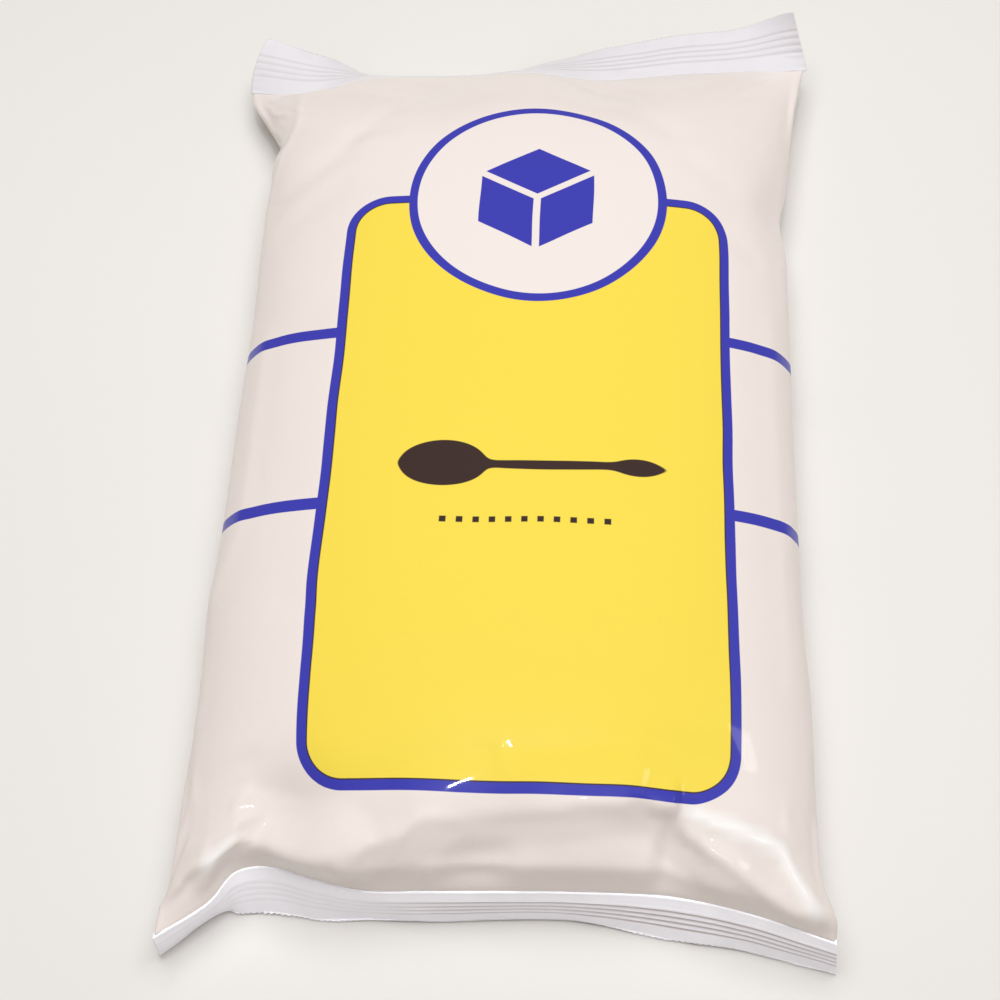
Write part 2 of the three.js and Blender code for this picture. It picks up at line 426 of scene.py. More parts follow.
class StageSettings(bpy.types.PropertyGroup):
    """The floor, the light and the camera."""

    floor_white: FloatVectorProperty(
        name="Floor White", description="Colour of the floor",
        subtype="COLOR", size=4, default=srgb("#e9e8e6"),
    )
    key_power: FloatProperty(
        name="Key Power", description="Soft light overhead", default=12.2, unit="POWER"
    )
    sheen_power: FloatProperty(
        name="Sheen Power", description="Light from the right that only shines back from the film",
        default=0.8, unit="POWER",
    )
    seal_power: FloatProperty(
        name="Seal Power", description="Soft light on the near seal alone", default=3.6, unit="POWER"
    )
    glint_power: FloatProperty(
        name="Glint Power", description="Small light overhead, for sparkles", default=0.7, unit="POWER"
    )
    sky_strength: FloatProperty(name="Sky Strength", description="Even light from all round", default=0.28)
    lens: FloatProperty(name="Lens", description="Focal length, in millimetres", default=62.0)
    distance: FloatProperty(
        name="Distance", description="From the camera to its target", default=0.5411, unit="LENGTH"
    )
    elevation: FloatProperty(
        name="Elevation", description="Of the camera", default=math.radians(60), subtype="ANGLE"
    )
    azimuth: FloatProperty(
        name="Azimuth", description="Of the camera", default=math.radians(5.99), subtype="ANGLE"
    )
    roll: FloatProperty(
        name="Roll", description="Of the camera", default=math.radians(-4.17), subtype="ANGLE"
    )


# The film's shape, worked out in millimetres in the bag's drawing


def smooth_curve(stations, steps=60):
    """Points of a centripetal curve through the stations. Only x, y and z count as distance."""
    points = np.array(stations, float)
    ends = (2 * points[0] - points[1], 2 * points[-1] - points[-2])
    padded = np.vstack([ends[0], points, ends[1]])
    t = np.linspace(0, 1, steps, endpoint=False)[:, None]
    pieces = []
    for before, start, end, after in zip(padded, padded[1:], padded[2:], padded[3:]):
        pairs = ((before, start), (start, end), (end, after))
        first, middle, last = (math.sqrt(np.linalg.norm((b - a)[:3])) for a, b in pairs)
        leave = (start - before) / first - (end - before) / (first + middle) + (end - start) / middle
        arrive = (end - start) / middle - (after - start) / (middle + last) + (after - end) / last
        leave, arrive = leave * middle, arrive * middle
        square = -3 * start + 3 * end - 2 * leave - arrive
        cube = 2 * start - 2 * end + leave + arrive
        pieces.append(start + leave * t + square * t**2 + cube * t**3)
    return np.vstack([*pieces, points[-1:]])


def seal_line(stations, across):
    """x, y, z and pitch of a seal's root at stations across, in even steps along it."""
    curve = smooth_curve(stations)
    steps = np.linalg.norm(np.diff(curve[:, :3], axis=0), axis=1)
    length = np.concatenate([[0], np.cumsum(steps)])
    wanted = (across + 1) / 2 * length[-1]
    x, y, z, pitch = (np.interp(wanted, length, curve[:, k]) for k in range(4))
    return x, y, z, np.radians(pitch)


def section(across, rises, squareness, half_width):
    """x and z of one film's sections: half superellipses, their points spread evenly by length."""
    angle = np.linspace(0, math.pi / 2, ARC_POINTS)
    arc_x = half_width * np.sin(angle) ** (2 / squareness)
    xs, zs = [], []
    for rise in rises:
        arc_z = rise * np.cos(angle)
        length = np.concatenate([[0], np.cumsum(np.hypot(np.diff(arc_x), np.diff(arc_z)))])
        wanted = np.abs(across) * length[-1]
        xs.append(np.sign(across) * np.interp(wanted, length, arc_x))
        zs.append(np.interp(wanted, length, arc_z))
    return np.array(xs), np.array(zs)


def fold_depth(folds, across, from_root):
    """How deep the gathered folds are, row by row."""
    depth = np.zeros((len(from_root), len(across)))
    for station, distance, half_width, deep in folds:
        along = bell((from_root - distance) / FOLD_LENGTH)
        depth += deep * along[:, None] * bell((across - station) / half_width)
    return depth * (1 - bell(from_root / FOLD_CLEARANCE))[:, None]


def body_points(across, along, side, shape):
    """Points of the filled body's upper or under film, row by row."""
    half_width, girth, crown = (v / MM for v in (shape.body_width / 2, shape.girth_height, shape.crown))
    from_near, from_far = along, BODY_LENGTH - along
    near_x, near_y, near_z, _ = seal_line(NEAR_SEAL, across)
    far_x, far_y, far_z, _ = seal_line(FAR_SEAL, across)
    near_bend = bell(from_near / NEAR_BEND_REACH)[:, None]
    far_bend = bell(from_far / FAR_BEND_REACH)[:, None]
    share = (across + 1) / 2
    near_wings = [bell(from_near / reach)[:, None] for reach in NEAR_WING_REACH]
    near_wing = near_wings[0] * (1 - share) + near_wings[1] * share
    far_wing = bell(from_far / FAR_WING_REACH[0])[:, None] * (1 - share)
    far_wing += np.exp(-from_far / FAR_WING_REACH[1])[:, None] * share
    if side == UPPER:
        swell = (1 - np.exp(-from_near / NEAR_CROWN_REACH)) ** NEAR_STEEPNESS
        swell *= 1 - np.exp(-from_far / FAR_CROWN_REACH)
        arc_x, arc_z = section(across, crown * swell, UPPER_SQUARENESS, half_width)
    else:
        swell = (1 - np.exp(-from_near / KEEL_REACH)) * (1 - np.exp(-from_far / KEEL_REACH))
        arc_x, arc_z = section(across, girth * FLOOR_PRESS * swell, UNDER_SQUARENESS, half_width)
    flat_x = across * half_width
    x = arc_x + (near_x - flat_x) * near_wing + (far_x - flat_x) * far_wing
    for edge, distance, reach, depth in PINCHES:
        towards_edge = np.maximum(edge * across, 0) ** PINCH_SHARPNESS
        x -= edge * depth * bell((from_far - distance) / reach)[:, None] * towards_edge
    y = NEAR_ROOT + along[:, None] + (near_y - NEAR_ROOT) * near_bend + (far_y - FAR_ROOT) * far_bend
    y += SHELF_DEPTH * (near_bend - far_bend)
    widest = girth + (near_z - girth) * near_bend + (far_z - girth) * far_bend
    z = widest + side * arc_z
    if side == UPPER:
        folds = fold_depth(NEAR_FOLDS, across, from_near) + fold_depth(FAR_FOLDS, across, from_far)
        z = np.maximum(z - folds, widest)
    return np.stack([x, y, np.maximum(z, 0)], axis=-1)


def from_line(across, along, line):
    """Distance of flat places from a line of points, and whether they lie to the left of its run."""
    nearest = np.full(np.broadcast(across, along).shape, np.inf)
    to_left = np.zeros(nearest.shape, bool)
    for (start_u, start_v), (end_u, end_v) in zip(line, line[1:]):
        run_u, run_v = end_u - start_u, end_v - start_v
        share = ((across - start_u) * run_u + (along - start_v) * run_v) / (run_u**2 + run_v**2)
        share = np.clip(share, 0, 1)
        off_u, off_v = across - start_u - share * run_u, along - start_v - share * run_v
        distance = np.hypot(off_u, off_v)
        to_left = np.where(distance < nearest, run_u * off_v > run_v * off_u, to_left)
        nearest = np.minimum(nearest, distance)
    return nearest, to_left


def crease_lift(across, along):
    """How far the creases lift the upper film, at flat places across it and along it."""
    lift = np.zeros(np.broadcast(across, along).shape)
    for height, left, right, line in CREASES:
        distance, to_left = from_line(across, along, line)
        lift += height * np.maximum(1 - distance / np.where(to_left, left, right), 0)
    return lift


def painted_fold_highlight(across, along):
    """How much painted highlight lies on the film along its sharpest folds, at flat places across it and
    along it.
    """
    distances = [from_line(across, along, line)[0] for line in PAINTED_HIGHLIGHT_LINES]
    return np.maximum(1 - np.min(distances, axis=0) / PAINTED_HIGHLIGHT_REACH, 0)


def seal_points(across, distances, stations, outward):
    """Points of a seal's middle sheet. It leaves its root by a narrow shelf, turns to its own pitch, and
    slides along the floor once it has come down to it."""
    x, y, z, pitch = seal_line(stations, across)
    lean = (FAR_EAR_LEAN if outward > 0 else NEAR_EAR_LEAN) * across**EAR_SHARPNESS
    level = np.cos(pitch)
    slid = np.clip(level / SLIDE_BLEND, -1, 1)
    rows = []
    last = 0.0
    for distance in distances:
        step = max(distance, 0.0) - last
        last = max(distance, 0.0)
        fallen = z + step * np.sin(pitch)
        y = y + outward * step * np.where(fallen < SEAL_CLEARANCE, slid, level)
        z = np.maximum(fallen, SEAL_CLEARANCE)
        behind = SHELF_DEPTH * bell(last / SHELF_REACH) - min(distance, 0.0)
        sideways = lean * np.where(across < 0, last**2 / SEAL_LENGTH, last)
        rows.append(np.stack([x + sideways, y - outward * behind, z], axis=-1))
    return np.array(rows)


def grid_normals(grid):
    """Outward normals of a tube's points, whose columns run round it."""
    round_it = np.roll(grid, -1, axis=1) - np.roll(grid, 1, axis=1)
    along_it = np.gradient(grid, axis=0)
    normal = np.cross(round_it, along_it)
    return normal / np.maximum(np.linalg.norm(normal, axis=-1, keepdims=True), TINY)


def smooth_noise(rows, columns, spread, random):
    """Random lumps about as many points wide as spread, with a standard deviation of one."""
    rough = np.fft.fft2(random.standard_normal((rows, columns)))
    squared = np.fft.fftfreq(rows)[:, None] ** 2 + np.fft.fftfreq(columns) ** 2
    lumps = np.fft.ifft2(rough * np.exp(-2 * (math.pi * spread) ** 2 * squared)).real
    return lumps / lumps.std()


def film_ties(base, spare_round, spare_along):
    """Pairs of points that the film holds apart, with their lengths and stiffness.
    No point comes twice in one set, so a whole set can be moved at once."""
    rows, columns = base.shape[:2]
    index = np.arange(rows * columns).reshape(rows, columns)
    flat = base.reshape(-1, 3)
    following = np.roll(index, -1, axis=1)
    second = np.roll(index, -2, axis=1)
    spare_skew = (spare_round + spare_along) / 2
    sets = []
    for first in (0, 1):
        low, high = index[first:-1:2], index[first + 1::2]
        sets.append((index[:, first::2], following[:, first::2], spare_round, PLAIN_STIFFNESS))
        sets.append((low, high, spare_along, PLAIN_STIFFNESS))
        sets.append((low, np.roll(high, -1, axis=1), spare_skew, SKEW_STIFFNESS))
        sets.append((high, np.roll(low, -1, axis=1), spare_skew, SKEW_STIFFNESS))
        chosen = np.arange(columns) // 2 % 2 == first
        sets.append((index[:, chosen], second[:, chosen], spare_round, BEND_STIFFNESS))
        chosen = np.arange(rows - 2) // 2 % 2 == first
        sets.append((index[:-2][chosen], index[2:][chosen], spare_along, BEND_STIFFNESS))
    ties = []
    for a, b, spare, stiffness in sets:
        a, b = a.ravel(), b.ravel()
        share = spare.ravel()
        length = np.linalg.norm(flat[a] - flat[b], axis=1) * (1 + (share[a] + share[b]) / 2)
        ties.append((a, b, length, stiffness))
    return ties


def settle_film(start, base, clearance, ties, steps):
    """Let the film fold where it is slack, held up by the sugar and the floor, and at its ends by the
    seals."""
    shape = base.shape
    points, core, normals = (v.reshape(-1, 3).copy() for v in (start, base, grid_normals(base)))
    free = np.ones(shape[:2])
    free[[0, -1]] = 0
    free = free.reshape(-1, 1)
    clearance = clearance.ravel()
    for _ in range(steps):
        points -= SUCTION * normals * free
        for a, b, length, stiffness in ties:
            gap = points[b] - points[a]
            now = np.sqrt(np.einsum("ij,ij->i", gap, gap)) + TINY
            shift = gap * (stiffness / 2 * (1 - length / now))[:, None]
            points[a] += shift * free[a]
            points[b] -= shift * free[b]
        sunk = -clearance - np.einsum("ij,ij->i", points - core, normals)
        points += normals * np.maximum(sunk, 0)[:, None] * free
        np.maximum(points[:, 2], 0, out=points[:, 2])
    return points.reshape(shape)


def film_tube(shape):
    """The settled film as a grid of points, the length along the film of each, and the painted highlight on
    its sharpest folds there.
    """
    across = np.linspace(-1, 1, HALF_COLUMNS + 1)
    even = np.linspace(0, 1, BODY_ROWS + 1)
    eased = (1 - np.cos(math.pi * even)) / 2
    along = BODY_LENGTH * (even + eased) / 2
    upper = body_points(across, along, UPPER, shape)
    under = body_points(across, along, UNDER, shape)
    base = np.concatenate([upper, under[:, -2:0:-1]], axis=1)
    rows, columns = base.shape[:2]
    length = np.zeros((rows, columns))
    length[1:] = np.cumsum(np.linalg.norm(np.diff(base, axis=0), axis=2), axis=0)
    for column in range(columns):
        length[:, column] -= np.interp(0, base[:, column, 1], length[:, column])

    from_near, from_far = along[:, None], BODY_LENGTH - along[:, None]
    held = (1 - bell(from_near / NEAR_HELD_REACH)) * (1 - bell(from_far / FAR_HELD_REACH))
    lift, fold_highlight = np.zeros((2, rows, columns))
    flat_across = across * shape.flat_width / MM / 2
    lift[:, :len(across)] = crease_lift(flat_across, from_near)
    fold_highlight[:, :len(across)] = painted_fold_highlight(flat_across, from_near)
    base += grid_normals(base) * (lift * held)[..., None]
    station = np.concatenate([across, across[-2:0:-1]])
    side = bell((np.abs(station) - SIDE_STATION) / SIDE_REACH)
    spare_round = LEAST_SPARE + shape.near_spare * bell(from_near / SEAL_SPARE_REACH)
    spare_round = spare_round + shape.far_spare * bell(from_far / SEAL_SPARE_REACH)
    spare_round = np.broadcast_to(spare_round, (rows, columns))
    spare_along = LEAST_SPARE + SIDE_SPARE * side + FAR_ALONG_SPARE * bell(from_far / FAR_ALONG_REACH)
    clearance = LEAST_SINK + NEAR_SINK * bell((from_near - SINK_PLACE) / NEAR_SINK_REACH)
    clearance = clearance + FAR_SINK * bell((from_far - SINK_PLACE) / FAR_SINK_REACH) + SIDE_SINK * side

    random = np.random.default_rng(shape.seed)
    lumps = LUMP_HEIGHT * smooth_noise(rows, columns, LUMP_SPREAD, random) * held
    start = base + grid_normals(base) * lumps[..., None]
    steps = shape.settle_steps
    settled = settle_film(start, base, clearance, film_ties(base, spare_round, spare_along), steps)
    return settled, length, fold_highlight


def to_part(points):
    """Millimetres in the bag's drawing as metres in the part's frame."""
    return (points - np.array([*BOX_MIDDLE, 0])) * MM


def new_piece(name, points, faces):
    """A smooth mesh at the origin, with its place in its points."""
    mesh = bpy.data.meshes.new(name)
    mesh.from_pydata(points.reshape(-1, 3).tolist(), [], faces)
    mesh.shade_smooth()
    piece = bpy.data.objects.new(name, mesh)
    bpy.context.scene.collection.objects.link(piece)
    return piece


# Materials


def add_node(tree, kind, settings=None, inputs=None, output=0):
    """Add one node with its settings, set or link its inputs, and give back one of its outputs."""
    node = tree.nodes.new(kind)
    for name, value in (settings or {}).items():
        setattr(node, name, value)
    for name, value in (inputs or {}).items():
        if isinstance(value, bpy.types.NodeSocket):
            tree.links.new(value, node.inputs[name])
        else:
            node.inputs[name].default_value = value
    return node.outputs[output] if len(node.outputs) else None


def new_material(name):
    material = bpy.data.materials.new(name)
    material.use_nodes = True
    tree = material.node_tree
    tree.nodes.clear()
    return material, tree


def printed_film(ink):
    """Opaque white polyethylene film, printed by flexography: satin, with fine crinkles that catch small
    sharp glints, a faint warm mottle from the sugar behind it, a white highlight painted along its sharpest
    folds, and inks that lie flat in the film."""
    material, tree = new_material("printed_polyethylene_film")
    film = add_node(tree, "ShaderNodeUVMap", {"uv_map": "film"})
    lump = add_node(tree, "ShaderNodeTexCoord", None, None, "Object")
    slack = add_node(
        tree, "ShaderNodeTexNoise", None,
        {"Vector": lump, "Scale": 1 / (SLACK_SIZE * MM), "Detail": 1.0}, "Color",
    )
    slack = add_node(
        tree, "ShaderNodeVectorMath", {"operation": "SUBTRACT"}, {0: slack, 1: (0.5, 0.5, 0.5)}
    )
    drift = (SLACK_DRIFT * MM, SLACK_DRIFT * MM, 0)
    drawn = add_node(tree, "ShaderNodeVectorMath", {"operation": "MULTIPLY"}, {0: slack, 1: drift})
    drawn = add_node(tree, "ShaderNodeVectorMath", {"operation": "ADD"}, {0: film, 1: drawn})
    place = add_node(tree, "ShaderNodeMapping", None, {"Vector": drawn, "Location": (ink.shift, 0, 0)})
    white, yellow, blue, brown = (
        tuple(c) for c in (ink.film_white, ink.panel_yellow, ink.border_blue, ink.mark_brown)
    )

    layers = []
    for stripe in (ink.upper_stripe, ink.lower_stripe):
        middle = (0, stripe, 0)
        off = add_node(tree, "ShaderNodeVectorMath", {"operation": "SUBTRACT"}, {0: place, 1: middle})
        off = add_node(tree, "ShaderNodeVectorMath", {"operation": "MULTIPLY"}, {0: off, 1: (0, 1, 0)})
        off = add_node(tree, "ShaderNodeVectorMath", {"operation": "LENGTH"}, {0: off}, "Value")
        layers.append((off, ink.stripe_width / 2, blue))
    panel = panel_distance(tree, place, ink)
    layers.append((panel, 0.0, blue))
    layers.append((panel, -ink.border_width, brown))
    layers.append((panel, -ink.border_width - OVERPRINT * MM, yellow))
    centre = (0, ink.badge_place, 0)
    badge = add_node(
        tree, "ShaderNodeVectorMath", {"operation": "DISTANCE"}, {0: place, 1: centre}, "Value"
    )
    layers.append((badge, ink.badge_radius, blue))
    layers.append((badge, ink.badge_radius - ink.border_width, white))
    layers.append((cube_distance(tree, place, centre, ink), 0.0, blue))
    layers.append((spoon_distance(tree, place, ink), 0.0, brown))
    layers.append((dots_distance(tree, place, ink), ink.dot_size / 2, brown))

    mottle = add_node(
        tree, "ShaderNodeTexNoise", None,
        {"Vector": lump, "Scale": 1 / (MOTTLE_SIZE * MM), "Detail": 2.0},
    )
    colour = add_node(
        tree, "ShaderNodeMix", {"data_type": "RGBA"},
        {"Factor": mottle, "A": white, "B": srgb(SUGAR_SHADE)}, "Result",
    )
    # Painted highlight: the sharpest folds are painted white, standing in for the light that they catch
    painted_highlight = add_node(tree, "ShaderNodeAttribute", {"attribute_name": "painted_highlight"}, None, "Fac")
    colour = add_node(
        tree, "ShaderNodeMix", {"data_type": "RGBA"},
        {"Factor": painted_highlight, "A": colour, "B": srgb(HIGHLIGHT_WHITE)}, "Result",
    )
    blur = INK_BLUR * MM
    for distance, edge, layer in layers:
        cover = add_node(
            tree, "ShaderNodeMapRange", {"interpolation_type": "SMOOTHSTEP"},
            {"Value": distance, "From Min": edge - blur, "From Max": edge + blur, "To Min": 1, "To Max": 0},
        )
        colour = add_node(
            tree, "ShaderNodeMix", {"data_type": "RGBA"},
            {"Factor": cover, "A": colour, "B": layer}, "Result",
        )

    crinkle = add_node(
        tree, "ShaderNodeTexNoise", None,
        {"Vector": lump, "Scale": 1 / (CRINKLE_SIZE * MM), "Detail": 3.0, "Roughness": 0.55,
         "Distortion": 0.6},
    )
    bump = add_node(
        tree, "ShaderNodeBump", None,
        {"Strength": 0.2, "Distance": CRINKLE_DEPTH * MM, "Height": crinkle},
    )
    shader = add_node(
        tree, "ShaderNodeBsdfPrincipled", None,
        {"Base Color": colour, "Roughness": 0.38, "IOR": 1.51, "Specular IOR Level": 0.35,
         "Coat Weight": 0.3, "Coat Roughness": 0.05, "Normal": bump},
    )
    add_node(tree, "ShaderNodeOutputMaterial", None, {"Surface": shader})
    return material


def panel_distance(tree, place, ink):
    """Distance outside the panel's rounded edge. Inside, it is good to the depth of the corner radius."""
    middle = (0, (ink.panel_top + ink.panel_bottom) / 2, 0)
    straight = (
        ink.panel_width / 2 - ink.corner_radius,
        (ink.panel_top - ink.panel_bottom) / 2 - ink.corner_radius,
        1,
    )
    off = add_node(tree, "ShaderNodeVectorMath", {"operation": "SUBTRACT"}, {0: place, 1: middle})
    off = add_node(tree, "ShaderNodeVectorMath", {"operation": "ABSOLUTE"}, {0: off})
    off = add_node(tree, "ShaderNodeVectorMath", {"operation": "SUBTRACT"}, {0: off, 1: straight})
    off = add_node(tree, "ShaderNodeVectorMath", {"operation": "MAXIMUM"}, {0: off, 1: (0, 0, 0)})
    reach = add_node(tree, "ShaderNodeVectorMath", {"operation": "LENGTH"}, {0: off}, "Value")
    return add_node(tree, "ShaderNodeMath", {"operation": "SUBTRACT"}, {0: reach, 1: ink.corner_radius})


def cube_distance(tree, place, centre, ink):
    """Distance outside the faces of a sugar cube drawn corner on: a hexagon, parted by three gaps."""
    off = add_node(tree, "ShaderNodeVectorMath", {"operation": "SUBTRACT"}, {0: place, 1: centre})
    hexagon = 0.0
    for angle in (0, math.radians(60), math.radians(120)):
        normal = (math.cos(angle), math.sin(angle), 0)
        side = add_node(
            tree, "ShaderNodeVectorMath", {"operation": "DOT_PRODUCT"}, {0: off, 1: normal}, "Value"
        )
        side = add_node(tree, "ShaderNodeMath", {"operation": "ABSOLUTE"}, {0: side})
        hexagon = add_node(tree, "ShaderNodeMath", {"operation": "MAXIMUM"}, {0: side, 1: hexagon})
    across = add_node(tree, "ShaderNodeSeparateXYZ", None, {0: off}, "X")
    along = add_node(tree, "ShaderNodeSeparateXYZ", None, {0: off}, "Y")
    angle = add_node(tree, "ShaderNodeMath", {"operation": "ARCTAN2"}, {0: along, 1: across})
    angle = add_node(tree, "ShaderNodeMath", {"operation": "SUBTRACT"}, {0: angle, 1: math.radians(30)})
    angle = add_node(tree, "ShaderNodeMath", {"operation": "PINGPONG"}, {0: angle, 1: math.radians(60)})
    share = add_node(tree, "ShaderNodeMath", {"operation": "SINE"}, {0: angle})
    reach = add_node(tree, "ShaderNodeVectorMath", {"operation": "LENGTH"}, {0: off}, "Value")
    from_gap = add_node(tree, "ShaderNodeMath", {"operation": "MULTIPLY"}, {0: reach, 1: share})
    outside = add_node(
        tree, "ShaderNodeMath", {"operation": "SUBTRACT"}, {0: hexagon, 1: ink.cube_radius}
    )
    in_gap = add_node(
        tree, "ShaderNodeMath", {"operation": "SUBTRACT"}, {0: ink.cube_gap / 2, 1: from_gap}
    )
    return add_node(tree, "ShaderNodeMath", {"operation": "MAXIMUM"}, {0: outside, 1: in_gap})


def spoon_distance(tree, place, ink):
    """Distance outside a teaspoon: a bowl, a slim handle and the handle's end, each an ellipse."""
    spoon = 1.0
    for ellipse in SPOON:
        middle, half_length, half_width = (size * MM for size in ellipse)
        centre = (middle, ink.spoon_place, 0)
        off = add_node(tree, "ShaderNodeVectorMath", {"operation": "SUBTRACT"}, {0: place, 1: centre})
        scale = (1 / half_length, 1 / half_width, 0)
        off = add_node(tree, "ShaderNodeVectorMath", {"operation": "MULTIPLY"}, {0: off, 1: scale})
        reach = add_node(tree, "ShaderNodeVectorMath", {"operation": "LENGTH"}, {0: off}, "Value")
        reach = add_node(tree, "ShaderNodeMath", {"operation": "SUBTRACT"}, {0: reach, 1: 1.0})
        reach = add_node(tree, "ShaderNodeMath", {"operation": "MULTIPLY"}, {0: reach, 1: half_width})
        spoon = add_node(
            tree, "ShaderNodeMath", {"operation": "SMOOTH_MIN"}, {0: reach, 1: spoon, 2: SPOON_BLEND * MM}
        )
    return spoon


def dots_distance(tree, place, ink):
    """Distance from the nearest of a row of square dots, measured to a square's sides."""
    middle = (0, ink.dots_place, 0)
    off = add_node(tree, "ShaderNodeVectorMath", {"operation": "SUBTRACT"}, {0: place, 1: middle})
    off = add_node(tree, "ShaderNodeVectorMath", {"operation": "ABSOLUTE"}, {0: off})
    across = add_node(tree, "ShaderNodeSeparateXYZ", None, {0: off}, "X")
    along = add_node(tree, "ShaderNodeSeparateXYZ", None, {0: off}, "Y")
    nearest = add_node(
        tree, "ShaderNodeMath", {"operation": "PINGPONG"}, {0: across, 1: ink.dot_pitch / 2}
    )
    beyond = add_node(
        tree, "ShaderNodeMath", {"operation": "SUBTRACT"}, {0: across, 1: ink.dots_width / 2}
    )
    square = add_node(tree, "ShaderNodeMath", {"operation": "MAXIMUM"}, {0: nearest, 1: along})
    return add_node(tree, "ShaderNodeMath", {"operation": "MAXIMUM"}, {0: square, 1: beyond})


def sealed_film(ink):
    """Two layers of the same film, melted together between ribbed jaws: whiter and cooler than the body,
    with a line of painted shade, grey, in each groove."""
    material, tree = new_material("heat_sealed_film")
    place = add_node(tree, "ShaderNodeTexCoord", None, None, "Object")
    haze = add_node(
        tree, "ShaderNodeTexNoise", None,
        {"Vector": place, "Scale": 1 / (HAZE_SIZE * MM), "Detail": 3.0, "Roughness": 0.6},
    )
    colour = add_node(
        tree, "ShaderNodeMix", {"data_type": "RGBA"},
        {"Factor": haze, "A": tuple(ink.seal_white), "B": srgb(HAZE_GREY)}, "Result",
    )
    # Painted shade: the grooves between the ribs are painted grey
    painted_groove_shade = add_node(tree, "ShaderNodeAttribute", {"attribute_name": "painted_groove_shade"}, None, "Fac")
    colour = add_node(
        tree, "ShaderNodeMix", {"data_type": "RGBA"},
        {"Factor": painted_groove_shade, "A": colour, "B": srgb(GROOVE_SHADE_GREY)}, "Result",
    )
    bump = add_node(
        tree, "ShaderNodeBump", None, {"Strength": 0.15, "Distance": HAZE_DEPTH * MM, "Height": haze}
    )
    shader = add_node(
        tree, "ShaderNodeBsdfPrincipled", None,
        {"Base Color": colour, "Roughness": 0.36, "IOR": 1.51, "Normal": bump},
    )
    add_node(tree, "ShaderNodeOutputMaterial", None, {"Surface": shader})
    return material


def floor_paint(white):
    """Matt white studio board: no gloss, with a faint unevenness."""
    material, tree = new_material("matt_studio_board")
    place = add_node(tree, "ShaderNodeTexCoord", None, None, "Object")
    cloud = add_node(
        tree, "ShaderNodeTexNoise", None,
        {"Vector": place, "Scale": 1 / (CLOUD_SIZE * MM), "Detail": 2.0},
    )
    colour = add_node(
        tree, "ShaderNodeMix", {"data_type": "RGBA"},
        {"Factor": cloud, "A": white, "B": srgb(BOARD_PALE)}, "Result",
    )
    shader = add_node(tree, "ShaderNodeBsdfPrincipled", None, {"Base Color": colour, "Roughness": 0.9})
    add_node(tree, "ShaderNodeOutputMaterial", None, {"Surface": shader})
    return material


